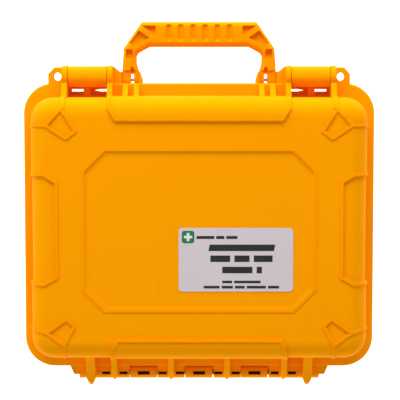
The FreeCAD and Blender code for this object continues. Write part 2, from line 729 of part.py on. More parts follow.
def vent_parts():
    """Pressure vent in the front wall: flanged body, sealing ring, cap and the nut inside."""
    collar = vent_disc(VENT_BOSS_R - 1.5, VENT_FACE_Y - 1.6, VENT_FACE_Y)
    body = join(vent_disc(VENT_R, VENT_FACE_Y - 1.6, VENT_NUT_Y + 3.6), [collar])
    seal = vent_disc(VENT_SEAL_R + 1.4, VENT_FACE_Y, VENT_FACE_Y + 1.0)
    seal = seal.cut(vent_disc(VENT_R, VENT_FACE_Y - 1, VENT_FACE_Y + 2))
    cap = vent_disc(VENT_BOSS_R - 2.5, VENT_FACE_Y - 3.4, VENT_FACE_Y - 1.6)
    cap = cap.makeFillet(0.9, edges_where(cap, lambda b: b.YMax < VENT_FACE_Y - 3.3))
    slots = []
    for n in range(6):
        slot = box(-0.6, 0.6, VENT_FACE_Y - 4, VENT_FACE_Y - 2.6, VENT_Z + 2.6, VENT_Z + 9)
        slots.append(slot.rotate(V(0, 0, VENT_Z), V(0, 1, 0), 60 * n))
    cap = carve(cap, slots)
    corners = []
    for n in range(6):
        angle = math.radians(60 * n)
        corners.append((VENT_NUT_R * math.cos(angle), VENT_Z + VENT_NUT_R * math.sin(angle)))
    wire = Part.makePolygon([V(x, VENT_NUT_Y, z) for x, z in corners + corners[:1]])
    nut = Part.Face(wire).extrude(V(0, 3.0, 0)).cut(vent_disc(VENT_R, VENT_FACE_Y, -80))
    return {"vent_body": body, "vent_seal": seal, "vent_cap": cap, "vent_nut": nut}


def fittings():
    gasket = seal_ring(GASKET_W, LID_LOW + GROOVE_D - GASKET_T, LID_LOW + GROOVE_D)
    latch_pin = rod(PIN_R, LATCH_Y, LATCH_Z, EAR_IN + 0.2, EAR_OUT - 0.2)
    handle_pin = rod(HANDLE_PIN_R, PIVOT_Y, PIVOT_Z, FORK_IN - LUG_T, FORK_OUT + LUG_T)
    hinge_end = KNUCKLE_ENDS[3] - 0.3
    label = plate(LABEL_X, LABEL_Y, 2.7, FACE_Z - PANEL_D, FACE_Z - PANEL_D + LABEL_T, LABEL_CX, LABEL_CY)
    mirror = (V(0, 0, 0), V(1, 0, 0))
    return {
        "lid_gasket": gasket,
        "hinge_pin": rod(HINGE_PIN_R, HINGE_Y, PARTING_Z, -hinge_end, hinge_end),
        "latch_left_pin": latch_pin,
        "latch_right_pin": latch_pin.mirror(*mirror),
        "handle_left_pin": handle_pin,
        "handle_right_pin": handle_pin.mirror(*mirror),
        "lid_label": label,
    }


# Supplies inside, each standing or lying where it is packed

def block(x0, y0, z0, size, radius):
    shape = Part.makeBox(size[0], size[1], size[2], V(x0, y0, z0))
    return shape.makeFillet(radius, shape.Edges)


def unit_boxes():
    """A row of cardboard dispenser boxes on edge along the front wall."""
    names = ("bandage_box", "gauze_pad_box", "wipes_box", "ointment_box", "burn_gel_box")
    made = {}
    for n, name in enumerate(names):
        x0 = -PACK_X + n * (UNIT_BOX[0] + 0.8)
        made[name] = block(x0, -PACK_Y, FLOOR_Z, UNIT_BOX, 0.8)
    return made


def side_stack():
    """Two cold packs, the glove bag and the rescue blanket, stacked beside the boxes."""
    x0 = PACK_X - SIDE_W
    made = {}
    z = FLOOR_Z
    stack = (("cold_pack_lower", 20.0), ("cold_pack_upper", 20.0), ("glove_bag", 11.0),
             ("rescue_blanket_packet", 13.0))
    for name, thick in stack:
        made[name] = block(x0, -PACK_Y, z, (SIDE_W, UNIT_BOX[1], thick), min(5.0, thick * 0.42))
        z += thick + 0.3
    return made


def eyewash():
    """Flat oval bottle lying on its side with a ribbed screw cap."""
    x0 = -PACK_X
    cy = REAR_Y + 30.0
    cz = FLOOR_Z + BOTTLE_H / 2
    wide = Part.Ellipse(V(0, 0, 0), BOTTLE_W / 2, BOTTLE_H / 2)
    face = Part.Face(Part.Wire([wide.toShape()]))
    body = face.extrude(V(0, 0, BOTTLE_L))
    body = body.makeFillet(5.0, [edge for edge in body.Edges if edge.BoundBox.ZLength < 0.1])
    neck = Part.makeCylinder(8.0, 10.5, V(0, 0, BOTTLE_L - 1))
    body = join(body, [neck])
    cap = Part.makeCylinder(11.0, 17.0, V(0, 0, BOTTLE_L + 1.0))
    cap = cap.makeFillet(1.5, edges_where(cap, lambda b: b.ZMin > BOTTLE_L + 17.0))
    cap = cap.cut(Part.makeCylinder(8.0 + FIT, 10.1, V(0, 0, BOTTLE_L)))
    ribs = []
    for n in range(24):
        rib = Part.makeCylinder(0.5, 12.0, V(11.0, 0, BOTTLE_L + 1.5))
        ribs.append(rib.rotate(V(0, 0, 0), V(0, 0, 1), 15 * n))
    cap = join(cap, ribs)
    placed = FreeCAD.Placement(V(x0, cy, cz), FreeCAD.Rotation(V(0, 0, 1), V(1, 0, 0)))
    turned = FreeCAD.Placement(V(0, 0, 0), FreeCAD.Rotation(V(0, 0, 1), 90))
    for shape in (body, cap):
        shape.Placement = placed.multiply(turned)
    return {"eyewash_bottle": body, "eyewash_cap": cap}


def rolls():
    """A gauze roll and an elastic bandage standing on end, and two rolls of tape in a stack."""
    y = REAR_Y + ROLL_R + 1.0
    made = {}
    for n, name in enumerate(("gauze_roll", "elastic_bandage_roll")):
        x = ROLL_R - 8.0 + n * (2 * ROLL_R + 0.6)
        shape = post(ROLL_R, x, y, FLOOR_Z, FLOOR_Z + ROLL_H)
        made[name] = shape.makeFillet(1.5, shape.Edges)
    x = PACK_X - TAPE_R
    z = FLOOR_Z
    for name in ("tape_roll_lower", "tape_roll_upper"):
        shape = post(TAPE_R, x, y, z, z + TAPE_H).cut(post(TAPE_CORE_R, x, y, z - 1, z + TAPE_H + 1))
        made[name] = shape
        z += TAPE_H + 0.3
    return made


def flat_packets():
    """Sterile packets lying on the bottle, and the guide booklet lying on the boxes."""
    made = {}
    z = FLOOR_Z + BOTTLE_H + 0.3
    for name, thick in (("triangular_bandage_packet", 13.0), ("trauma_pad_lower", 8.0), ("trauma_pad_upper", 8.0)):
        made[name] = block(-PACK_X, REAR_Y, z, (PACKET[0], PACKET[1], thick), thick * 0.3)
        z += thick + 0.3
    top = FLOOR_Z + UNIT_BOX[2]
    made["guide_booklet"] = block(-PACK_X + 20.0, -PACK_Y + 8.0, top, (BOOKLET[0], BOOKLET[1], BOOKLET[2]), 0.5)
    return made


def tweezers():
    """Spring tweezers: two tapering arms joined at the back, lying flat on the booklet."""
    z0 = FLOOR_Z + UNIT_BOX[2] + BOOKLET[2]
    x = -PACK_X + 34.0
    y = -PACK_Y + 42.0
    arms = []
    for side in (-1, 1):
        arm = [
            (x, y), (x + 6.0, y + side * 4.5), (x + 55.0, y + side * 6.0), (x + 88.0, y + side * 1.6),
            (x + 88.0, y + side * 0.7), (x + 55.0, y + side * 4.6), (x + 9.0, y + side * 2.9), (x + 4.0, y),
        ]
        if side > 0:
            arm.reverse()
        arms.append(slab(arm, z0, z0 + 6.0))
    return arms[0].fuse(arms[1]).removeSplitter()


def scissor_half(side, z0, thick):
    """One half of the scissors, pivot at the origin, blade towards +X, finger loop towards -X."""
    blade = [(0.0, side * -4.5), (SCISSOR_BLADE - 8.0, side * -4.0), (SCISSOR_BLADE, side * 0.2),
             (SCISSOR_BLADE - 2.0, side * 1.0), (0.0, side * 4.5)]
    shank = [(3.0, side * 4.5), (-8.0, side * 4.0), (-SCISSOR_SHANK, side * 11.5),
             (-SCISSOR_SHANK, side * 6.0), (-8.0, side * -3.0), (3.0, side * -4.5)]
    if side > 0:
        shank.reverse()
    else:
        blade.reverse()
    metal = slab(blade, z0, z0 + thick).fuse([slab(shank, z0, z0 + thick), post(5.5, 0, 0, z0, z0 + thick)])
    return metal.removeSplitter()


def scissor_loop(side, z0, thick):
    centre_x = -SCISSOR_SHANK - 9.0
    centre_y = side * 13.0
    outer = plate(30.0, 22.0, 10.9, z0, z0 + thick, centre_x, centre_y)
    inner = plate(22.0, 14.0, 6.9, z0 - 1, z0 + thick + 1, centre_x, centre_y)
    ring = outer.cut(inner)
    return ring.makeFillet(0.8, edges_where(ring, lambda b: b.ZLength < 0.01))


def scissors():
    """Two halves, one above the other, with the loops in line and a rivet through both."""
    low = FLOOR_Z + BOTTLE_H + 13.0 + 2 * 8.0 + 4 * 0.3
    thick = SCISSOR_T
    upper = low + thick + CLEAR
    loop_t = 2 * thick + CLEAR
    made = {}
    halves = (("lower", -1, low, low), ("upper", 1, upper, low))
    for name, side, z0, loop_z in halves:
        metal = scissor_half(side, z0, thick)
        loop = scissor_loop(side, loop_z, loop_t).cut(metal)
        bore = SCISSOR_RIVET_R + (FIT if name == "upper" else 0.0)
        metal = metal.cut(post(bore, 0, 0, low - 1, upper + 4))
        made["scissors_" + name + "_blade"] = metal
        made["scissors_" + name + "_loop"] = loop
    rivet = post(SCISSOR_RIVET_R, 0, 0, low, upper + thick + CLEAR)
    head = post(SCISSOR_RIVET_R + 1.6, 0, 0, upper + thick + CLEAR, upper + thick + 1.1)
    made["scissors_rivet"] = join(rivet, [head])
    for shape in made.values():
        shape.Placement = FreeCAD.Placement(V(SCISSOR_X, SCISSOR_Y, 0), FreeCAD.Rotation())
    return made


def contents():
    made = {}
    for group in (unit_boxes(), side_stack(), eyewash(), rolls(), flat_packets(), scissors()):
        made.update(group)
    made["tweezers"] = tweezers()
    return made


os.makedirs("parts", exist_ok=True)
nodes = {"lid_shell": lid_shell(), "base_shell": base_shell(), "handle": handle()}
nodes["latch_left_lever"] = latch_lever()
nodes["latch_right_lever"] = nodes["latch_left_lever"].mirror(V(0, 0, 0), V(1, 0, 0))
nodes.update(fittings())
nodes.update(vent_parts())
nodes.update(contents())
for name, shape in nodes.items():
    save(shape, name)
    print(name, len(shape.Solids), shape.isValid(), round(shape.Volume))
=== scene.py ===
import math
import random

import bmesh
import bpy
from mathutils import Matrix, Vector


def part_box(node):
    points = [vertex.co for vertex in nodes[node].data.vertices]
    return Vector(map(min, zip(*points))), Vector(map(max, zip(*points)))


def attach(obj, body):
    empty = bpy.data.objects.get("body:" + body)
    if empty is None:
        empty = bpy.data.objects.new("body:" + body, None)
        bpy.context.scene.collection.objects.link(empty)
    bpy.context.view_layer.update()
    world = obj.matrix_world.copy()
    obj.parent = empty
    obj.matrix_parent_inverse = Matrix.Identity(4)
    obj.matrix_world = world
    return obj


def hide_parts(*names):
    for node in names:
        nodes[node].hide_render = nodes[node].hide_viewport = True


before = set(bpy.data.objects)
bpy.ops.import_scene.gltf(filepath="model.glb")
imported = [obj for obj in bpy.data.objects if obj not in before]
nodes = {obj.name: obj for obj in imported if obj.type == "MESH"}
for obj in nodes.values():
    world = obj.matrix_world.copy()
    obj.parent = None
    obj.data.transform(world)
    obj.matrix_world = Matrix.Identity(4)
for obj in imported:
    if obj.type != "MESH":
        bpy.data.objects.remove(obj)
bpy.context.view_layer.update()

MM = 0.001
SEED = 21

# The camera looks down on the lid, with the latch side towards the top of the picture.
VIEW_TARGET = Vector((-0.7, -19.5, 84.0)) * MM
VIEW_DISTANCE = 1.276
VIEW_TILT = math.radians(5.0)
LENS = 147.9
SENSOR = 36.0

# Light: low soft lamps all round, the strongest beyond the latch side.
WORLD_GLOW = 0.17
FLOOR_GLOW = 0.95
LAMPS = (
    ("key_light", (0.10, -1.34, 0.78), (2.0, 0.9), 33.0),
    ("fill_light", (0.10, 1.30, 0.76), (2.0, 0.9), 9.5),
    ("left_light", (1.35, 0.0, 0.72), (1.6, 0.7), 4.0),
    ("right_light", (-1.35, 0.0, 0.72), (1.6, 0.7), 2.5),
)

# Label print, in millimetres across from its left edge and down from its top edge.
INK_T = 0.06 * MM
MARK_PLACE = (7.2, 6.9)
MARK_SIZE = 9.4 * MM
LABEL_BARS = (
    (13.6, 27.0, 6.1, 8.3, 0.0), (28.4, 34.6, 6.1, 8.3, 0.0), (36.0, 44.4, 6.1, 8.3, 0.0),
    (23.0, 72.5, 12.6, 17.5, 0.1),
    (24.0, 39.0, 20.9, 25.8, 0.0), (42.2, 53.6, 20.9, 25.8, 0.0), (56.8, 71.0, 20.9, 25.8, 0.0),
    (33.0, 55.8, 29.5, 34.4, 0.0), (59.0, 63.0, 29.5, 34.4, 0.0),
    (33.0, 40.4, 40.1, 42.0, 0.0), (42.0, 62.0, 40.1, 42.0, 0.0),
    (19.0, 31.0, 44.0, 46.0, 0.0), (32.6, 41.0, 44.0, 46.0, 0.0), (42.6, 50.0, 44.0, 46.0, 0.0),
    (51.6, 66.0, 44.0, 46.0, 0.0), (67.6, 76.0, 44.0, 46.0, 0.0),
)

# Supplies
POUCH_CELL = 4.5 * MM
AIR_PRESSURE = 4.0
AIR_FRAMES = 20
WOUND_STEPS = 56
CORE_STEPS = 48
CORE_RADII = (11.0 * MM, 12.0 * MM)
TAPE_INNER = 12.1 * MM
CLIP_LEVELS = (16 * MM, 36 * MM)
CLIP_STEPS = 6
FOLD_STEPS = 12
LEAF_COUNT = 11
NOTCH_R = 5.0 * MM
NOTCH_STEPS = 8
CARTON_TINTS = {
    "bandage_box": (0.030, 0.160, 0.460),
    "gauze_pad_box": (0.030, 0.330, 0.300),
    "wipes_box": (0.480, 0.060, 0.045),
    "ointment_box": (0.300, 0.080, 0.330),
    "burn_gel_box": (0.560, 0.230, 0.020),
}


# Materials

class Material:
    """A node material under construction, with short ways to add and join nodes."""

    def __init__(self, name):
        self.data = bpy.data.materials.new(name)
        self.data.use_nodes = True
        self.tree = self.data.node_tree
        self.shader = self.tree.nodes["Principled BSDF"]
        self.place = self.add("ShaderNodeTexCoord").outputs["Object"]

    def add(self, kind, **settings):
        node = self.tree.nodes.new(kind)
        for key, value in settings.items():
            setattr(node, key, value)
        return node

    def join(self, output, socket):
        self.tree.links.new(output, socket)

    def noise(self, scale, detail=3.0, rough=0.5, stretch=None):
        node = self.add("ShaderNodeTexNoise")
        node.inputs["Scale"].default_value = scale
        node.inputs["Detail"].default_value = detail
        node.inputs["Roughness"].default_value = rough
        source = self.place
        if stretch:
            source = self.stretched(stretch)
        self.join(source, node.inputs["Vector"])
        return node.outputs["Fac"]

    def stretched(self, amounts):
        mapping = self.add("ShaderNodeMapping")
        mapping.inputs["Scale"].default_value = amounts
        self.join(self.place, mapping.inputs["Vector"])
        return mapping.outputs["Vector"]

    def ramp(self, source, stops):
        node = self.add("ShaderNodeValToRGB")
        elements = node.color_ramp.elements
        while len(elements) < len(stops):
            elements.new(0.5)
        for element, (position, colour) in zip(elements, stops):
            element.position = position
            element.color = (*colour, 1.0) if len(colour) == 3 else colour
        self.join(source, node.inputs["Fac"])
        return node.outputs["Color"]

    def spread(self, source, low, high, new_low, new_high):
        node = self.add("ShaderNodeMapRange")
        values = (("From Min", low), ("From Max", high), ("To Min", new_low), ("To Max", new_high))
        for key, value in values:
            node.inputs[key].default_value = value
        self.join(source, node.inputs["Value"])
        return node.outputs["Result"]

    def mix(self, factor, first, second, blend="MIX"):
        node = self.add("ShaderNodeMix", data_type="RGBA", blend_type=blend)
        for socket, value in ((node.inputs[0], factor), (node.inputs[6], first), (node.inputs[7], second)):
            if isinstance(value, bpy.types.NodeSocket):
                self.join(value, socket)
            elif isinstance(value, tuple):
                socket.default_value = (*value, 1.0)
            else:
                socket.default_value = value
        return node.outputs[2]

    def bump(self, height, strength, distance):
        node = self.add("ShaderNodeBump")
        node.inputs["Strength"].default_value = strength
        node.inputs["Distance"].default_value = distance
        self.join(height, node.inputs["Height"])
        self.join(node.outputs["Normal"], self.shader.inputs["Normal"])

    def colour(self, source):
        self.join(source, self.shader.inputs["Base Color"])

    def roughness(self, source):
        self.join(source, self.shader.inputs["Roughness"])

    def set(self, **values):
        for key, value in values.items():
            self.shader.inputs[key.replace("_", " ")].default_value = value
        return self


def moulded_plastic(name, main, deep, rough=(0.34, 0.5), grain=0.12):
    """Coloured plastic with a moulded grain, faint flow marks and fine scuffs."""
    mat = Material(name)
    flow = mat.noise(9.0, 4.0, 0.6)
    body = mat.ramp(flow, ((0.3, deep), (0.62, main)))
    scuffs = mat.ramp(mat.noise(70.0, 6.0, 0.7, (1.0, 0.12, 1.0)), ((0.66, (0, 0, 0)), (0.72, (1, 1, 1))))
    lighter = tuple(min(1.0, c * 1.08 + 0.015) for c in main)
    mat.colour(mat.mix(mat.spread(scuffs, 0.0, 1.0, 0.0, 0.3), body, lighter))
    mat.roughness(mat.spread(mat.noise(55.0, 5.0), 0.3, 0.7, *rough))
    mat.bump(mat.noise(1900.0, 2.0), grain, 0.0002)
    return mat


def case_material():
    mat = moulded_plastic("case_plastic", (0.940, 0.352, 0.0004), (0.925, 0.341, 0.0003), (0.46, 0.6))
    # Painted glow: a faint red-orange emission over the whole shell lifts its shaded recesses, standing in
    # for light bounced round inside them.
    mat.set(Emission_Color=(1.0, 0.16, 0.0, 1.0), Emission_Strength=0.07)
    return mat.set(Specular_IOR_Level=0.01, Specular_Tint=(1.0, 0.7, 0.02, 1.0)).data


def steel_material(name, tone, rough):
    mat = Material(name)
    streaks = mat.noise(900.0, 3.0, 0.6, (0.03, 1.0, 1.0))
    dark = tuple(c * 0.78 for c in tone)
    mat.colour(mat.ramp(streaks, ((0.3, dark), (0.7, tone))))
    mat.roughness(mat.spread(streaks, 0.3, 0.7, rough, rough + 0.15))
    mat.bump(streaks, 0.15, 0.0001)
    return mat.set(Metallic=1.0).data


def rubber_material():
    mat = Material("seal_rubber")
    speck = mat.noise(700.0, 4.0)
    mat.colour(mat.ramp(speck, ((0.3, (0.012, 0.012, 0.013)), (0.7, (0.028, 0.028, 0.03)))))
    mat.roughness(mat.spread(speck, 0.3, 0.7, 0.6, 0.8))
    mat.bump(speck, 0.2, 0.0002)
    return mat.data


def printed_paper(name, main, shade, rough=(0.45, 0.6), fibre=1400.0):
    """Coated paper or card: faint clouding, short fibres and a soft sheen."""
    mat = Material(name)
    cloud = mat.noise(28.0, 5.0, 0.6)
    mat.colour(mat.ramp(cloud, ((0.3, shade), (0.7, main))))
    mat.roughness(mat.spread(mat.noise(120.0, 4.0), 0.3, 0.7, *rough))
    mat.bump(mat.noise(fibre, 3.0, 0.6, (1.0, 0.35, 1.0)), 0.1, 0.0001)
    return mat.data


def film_material(name, main, shade, metallic=0.0, clear=0.0):
    """Pouch film: shiny, with fine creases and a slightly uneven tint."""
    mat = Material(name)
    creases = mat.noise(95.0, 6.0, 0.65)
    mat.colour(mat.ramp(mat.noise(35.0, 3.0), ((0.32, shade), (0.68, main))))
    mat.roughness(mat.spread(creases, 0.3, 0.7, 0.16, 0.34))
    mat.bump(creases, 0.35, 0.0006)
    return mat.set(Metallic=metallic, Transmission_Weight=clear, Coat_Weight=0.3, Coat_Roughness=0.15).data


def woven_material(name, main, shade, pitch):
    """Bandage cloth: crossing threads seen as a fine grid of bumps."""
    mat = Material(name)
    weave = mat.add("ShaderNodeTexWave", wave_type="BANDS", bands_direction="Z")
    weave.inputs["Scale"].default_value = 1.0 / pitch
    weave.inputs["Distortion"].default_value = 0.6
    mat.join(mat.place, weave.inputs["Vector"])
    weft = mat.noise(1.0 / pitch, 3.0, 0.6, (1.0, 1.0, 0.2))
    threads = mat.mix(0.5, weave.outputs["Color"], weft)
    mat.colour(mat.ramp(threads, ((0.25, shade), (0.75, main))))
    mat.roughness(mat.spread(weft, 0.3, 0.7, 0.75, 0.92))
    mat.bump(threads, 0.4, 0.0003)
    return mat.set(Sheen_Weight=0.3).data


def floor_material():
    mat = Material("studio_floor")
    soft = mat.noise(3.0, 2.0)
    mat.colour(mat.ramp(soft, ((0.3, (0.86, 0.86, 0.86)), (0.7, (0.88, 0.88, 0.88)))))
    return mat.set(Roughness=0.9, Emission_Color=(1, 1, 1, 1), Emission_Strength=FLOOR_GLOW).data


def dress(names, material):
    for name in names:
        for slot in nodes[name].material_slots:
            slot.material = material


# Meshes

def new_object(name, mesh, materials, smooth=True):
    piece = bpy.data.objects.new(name, mesh)
    bpy.context.collection.objects.link(piece)
    for material in materials:
        mesh.materials.append(material)
    if smooth:
        for polygon in mesh.polygons:
            polygon.use_smooth = True
    return piece


def from_bmesh(name, shape, materials, smooth=True):
    mesh = bpy.data.meshes.new(name)
    shape.normal_update()
    shape.to_mesh(mesh)
    shape.free()
    return new_object(name, mesh, materials, smooth)


def stand_for(piece, body, slot, *names):
    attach(piece, body)
    if names:
        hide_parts(*names)
    return piece


def add_block(shape, low, high, radius, material=0, segments=2):
    """A box between two corners with its edges rounded, added to a bmesh."""
    size = high - low
    middle = (high + low) / 2
    place = Matrix.Translation(middle) @ Matrix.Diagonal((*size, 1.0))
    made = bmesh.ops.create_cube(shape, size=1.0, matrix=place)
    edges = list({edge for vert in made["verts"] for edge in vert.link_edges})
    for face in {face for vert in made["verts"] for face in vert.link_faces}:
        face.material_index = material
    if radius > 0:
        bmesh.ops.bevel(
            shape, geom=edges, offset=radius, segments=segments, profile=0.5,
            affect="EDGES", clamp_overlap=True, material=-1,
        )


def add_plate(shape, outline, low, high, material=0):
    """A thin plate with the given outline, seen from above, added to a bmesh."""
    rims = []
    for z in (low, high):
        rims.append([shape.verts.new((x, y, z)) for x, y in outline])
    top = shape.faces.new(rims[1])
    bottom = shape.faces.new(list(reversed(rims[0])))
    faces = [top, bottom]
    count = len(outline)
    for n in range(count):
        m = (n + 1) % count
        faces.append(shape.faces.new((rims[0][n], rims[0][m], rims[1][m], rims[1][n])))
    for face in faces:
        face.material_index = material


def oblong(x0, x1, y0, y1):
    return [(x0, y0), (x1, y0), (x1, y1), (x0, y1)]


def rounded_outline(x0, x1, y0, y1, radius, steps=6):
    points = []
    corners = (
        (x1 - radius, y1 - radius, 0), (x0 + radius, y1 - radius, 90),
        (x0 + radius, y0 + radius, 180), (x1 - radius, y0 + radius, 270),
    )
    for cx, cy, start in corners:
        for n in range(steps + 1):
            angle = math.radians(start + 90.0 * n / steps)
            points.append((cx + radius * math.cos(angle), cy + radius * math.sin(angle)))
    return points


def add_cross(shape, cx, cy, arm, low, high, material):
    """A plain first aid cross whose arms are a third of its width."""
    a = arm / 2
    b = arm / 6
    outline = [
        (b, a), (-b, a), (-b, b), (-a, b), (-a, -b), (-b, -b),
        (-b, -a), (b, -a), (b, -b), (a, -b), (a, b), (b, b),
    ]
    add_plate(shape, [(cx + x, cy + y) for x, y in outline], low, high, material)


def hoop_corners(shape, middle, angle, corners):
    """The corners of a tube's section, each a distance from the middle and a height."""
    made = []
    for distance, z in corners:
        x = middle.x + distance * math.cos(angle)
        y = middle.y + distance * math.sin(angle)
        made.append(shape.verts.new((x, y, z)))
    return made


def bridge(shape, first, second):
    """Faces between two sections that have the same number of corners."""
    count = len(first)
    for k in range(count):
        m = (k + 1) % count
        shape.faces.new((first[k], first[m], second[m], second[k]))


# Label on the lid

def label_art(inks):
    """The label's print as thin raised ink: a cross mark, and a bar for the place of each word."""
    low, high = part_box("lid_label")
    shape = bmesh.new()
    z0 = high.z - 0.05 * MM
    z1 = high.z + INK_T

    def place(u, v):
        return high.x - u * MM, low.y + v * MM

    for u0, u1, v0, v1, lean in LABEL_BARS:
        x0, y0 = place(u1, v0)
        x1, y1 = place(u0, v1)
        slant = lean * (y1 - y0)
        outline = [(x0 - slant, y0), (x1 - slant, y0), (x1 + slant, y1), (x0 + slant, y1)]
        add_plate(shape, outline, z0, z1, 0)
    cx, cy = place(*MARK_PLACE)
    half = MARK_SIZE / 2
    badge = rounded_outline(cx - half, cx + half, cy - half, cy + half, MARK_SIZE * 0.2)
    add_plate(shape, badge, z0, z1, 1)
    add_cross(shape, cx, cy, MARK_SIZE * 0.66, z0, z1 + INK_T / 2, 2)
    art = from_bmesh("label_print", shape, inks, smooth=False)
    return stand_for(art, "lid", "label_vinyl")


# Cartons

def carton(node, materials):
    """A folding carton: board body, a closing flap with a thumb notch, and printed bands."""
    low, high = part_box(node)
    gap = 0.25 * MM
    card = 0.45 * MM
    low = low + Vector((gap, gap, 0.0))
    high = high - Vector((gap, gap, 0.35 * MM))
    shape = bmesh.new()
    add_block(shape, low, Vector((high.x, high.y, high.z - card - 0.15 * MM)), 0.5 * MM, 0)
    wide = high.x - low.x
    middle = (low.x + high.x) / 2
    left = low.x + 0.2 * MM
    right = high.x - 0.2 * MM
    front = low.y + 0.8 * MM
    back = high.y - 0.3 * MM
    lid = [(left, back), (left, front)]
    for n in range(NOTCH_STEPS + 1):
        angle = math.pi * n / NOTCH_STEPS
        lid.append((middle - NOTCH_R * math.cos(angle), front + 0.8 * NOTCH_R * math.sin(angle)))
    lid += [(right, front), (right, back)]
    add_plate(shape, lid, high.z - card, high.z, 0)
    tops = high.z + 0.15 * MM
    under = high.z - 0.1 * MM
    for y0, y1 in ((low.y + 8 * MM, low.y + 24 * MM), (high.y - 9 * MM, high.y - 3 * MM)):
        add_plate(shape, oblong(low.x + 2 * MM, high.x - 2 * MM, y0, y1), under, tops, 1)
    add_cross(shape, middle, low.y + 16 * MM, 10 * MM, under, tops + 0.05 * MM, 2)
    for n, share in enumerate((0.82, 0.6, 0.74, 0.45)):
        y = low.y + (32.0 + 6.0 * n) * MM
        half = wide * 0.42
        line = oblong(middle - half, middle - half + 2 * half * share, y, y + 2.2 * MM)
        add_plate(shape, line, under, tops, 3)
    band_low = low.z + 0.62 * (high.z - low.z)
    band_high = low.z + 0.8 * (high.z - low.z)
    skin = 0.12 * MM
    band_start = Vector((low.x - skin, low.y - skin, band_low))
    band_end = Vector((high.x + skin, high.y + skin, band_high))
    add_block(shape, band_start, band_end, 0.4 * MM, 1)
    piece = from_bmesh(f"{node}_carton", shape, materials, smooth=False)
    return stand_for(piece, "base", "carton", node)


# Film pouches

def pouch(node, material, slot, seed, crimp=5.0):
    """A sealed pouch blown up by a short cloth simulation, with its two end seams pressed flat."""
    low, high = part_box(node)
    size = high - low
    middle = (high + low) / 2
    across = max(8, round(size.x / POUCH_CELL))
    along = max(8, round(size.y / POUCH_CELL))
    noise = random.Random(SEED + seed)
    shape = bmesh.new()
    rows = {}
    for side in (1, -1):
        for i in range(across + 1):
            for j in range(along + 1):
                u = 2 * i / across - 1
                v = 2 * j / along - 1
                edge = abs(u) > 0.999 or abs(v) > 0.999
                if edge and side < 0:
                    rows[(side, i, j)] = rows[(1, i, j)]
                    continue
                swell = (1 - abs(u) ** 3.2) * (1 - abs(v) ** 5.0)
                lift = side * size.z * 0.42 * swell ** 0.6
                ripple = noise.uniform(-0.25, 0.25) * MM * (0 if edge else 1)
                rows[(side, i, j)] = shape.verts.new((u * size.x / 2, v * size.y / 2, lift + ripple))
    for side in (1, -1):
        for i in range(across):
            for j in range(along):
                corners = [rows[(side, i, j)], rows[(side, i + 1, j)],
                           rows[(side, i + 1, j + 1)], rows[(side, i, j + 1)]]
                shape.faces.new(corners if side > 0 else list(reversed(corners)))
    piece = from_bmesh(f"{node}_pouch", shape, [material])
    blow_up(piece, size)
    fit_to(piece, size, crimp * MM)
    piece.location = middle
    smooth = piece.modifiers.new("smooth", "SUBSURF")
    smooth.levels = 1
    smooth.render_levels = 1
    apply_modifiers(piece)
    return stand_for(piece, "base", slot, node)


def apply_modifiers(piece):
    bpy.context.view_layer.update()
    graph = bpy.context.evaluated_depsgraph_get()
    done = bpy.data.meshes.new_from_object(piece.evaluated_get(graph))
    piece.modifiers.clear()
    piece.data = done
    for polygon in done.polygons:
        polygon.use_smooth = True


def blow_up(piece, size):
    """Cloth with air pressure inside and no gravity, keeping every point near where it began."""
    start = [vert.co.copy() for vert in piece.data.vertices]
    cloth = piece.modifiers.new("air", "CLOTH")
    settings = cloth.settings
    settings.quality = 6
    settings.mass = 0.2
    settings.use_pressure = True
    settings.uniform_pressure_force = AIR_PRESSURE
    settings.tension_stiffness = 12.0
    settings.compression_stiffness = 12.0
    settings.bending_stiffness = 0.05
    settings.effector_weights.gravity = 0.0
    cloth.point_cache.frame_start = 1
    cloth.point_cache.frame_end = AIR_FRAMES
    scene = bpy.context.scene
    for moment in range(1, AIR_FRAMES + 1):
        scene.frame_set(moment)
    graph = bpy.context.evaluated_depsgraph_get()
    moved = piece.evaluated_get(graph).to_mesh()
    places = [vert.co.copy() for vert in moved.vertices]
    piece.evaluated_get(graph).to_mesh_clear()
    piece.modifiers.clear()
    scene.frame_set(1)
    reach = size.z * 0.35
    for vert, before, after in zip(piece.data.vertices, start, places):
        shift = after - before
        if shift.length > reach:
            shift = shift * (reach / shift.length)
        vert.co = before + shift


def fit_to(piece, size, crimp):
    """Scale the pouch into its packed size, then press and ripple the seams at its two ends."""
    verts = piece.data.vertices
    spans = []
    for axis in range(3):
        values = [vert.co[axis] for vert in verts]
        spans.append((min(values), max(values)))
    for vert in verts:
        for axis in range(3):
            least, most = spans[axis]
            share = (vert.co[axis] - least) / max(1e-9, most - least) - 0.5
            vert.co[axis] = share * size[axis] * 0.985
        from_end = size.y / 2 - abs(vert.co.y)
        press = min(1.0, max(0.0, from_end / crimp - 0.25))
        vert.co.z *= press
        if press < 0.99:
            vert.co.z += 0.25 * MM * math.sin(vert.co.x / (1.1 * MM)) * (1 - press)


# Rolls

